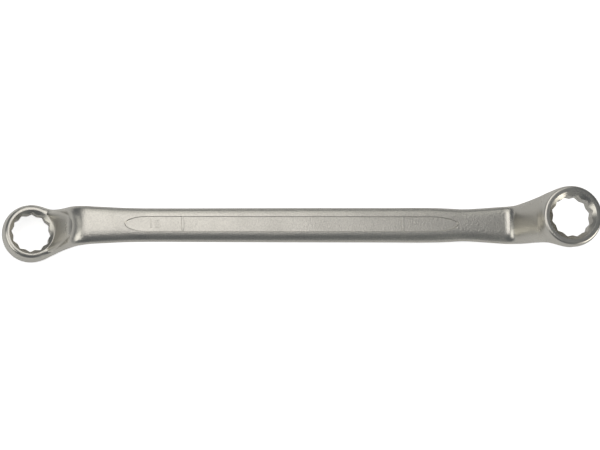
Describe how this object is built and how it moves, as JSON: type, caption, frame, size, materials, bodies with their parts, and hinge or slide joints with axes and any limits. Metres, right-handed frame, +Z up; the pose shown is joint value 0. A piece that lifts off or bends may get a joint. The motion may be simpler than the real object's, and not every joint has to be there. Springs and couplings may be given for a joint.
{
  "type": "ring spanner",
  "caption": "Deep offset double-ended ring spanner with a different twelve-point bore at each end, for turning hexagon nuts and bolts.",
  "frame": {"origin": "bottom centre of the box round the spanner as it lies at rest on a bench", "axes": "+X along the length towards the 19 mm ring, +Y across the width, +Z up from the bench. The shank lies pitched 7.82 degrees about Y, because the 18 mm ring hangs below it and carries that end"},
  "size_m": [0.3076, 0.0312, 0.0382],
  "materials": {
    "chromed_steel": "satin chrome on the shank, polished chrome on the necks and rings"
  },
  "bodies": {
    "root": {"spanner_forging": "chromed_steel"}
  },
  "joints": []
}
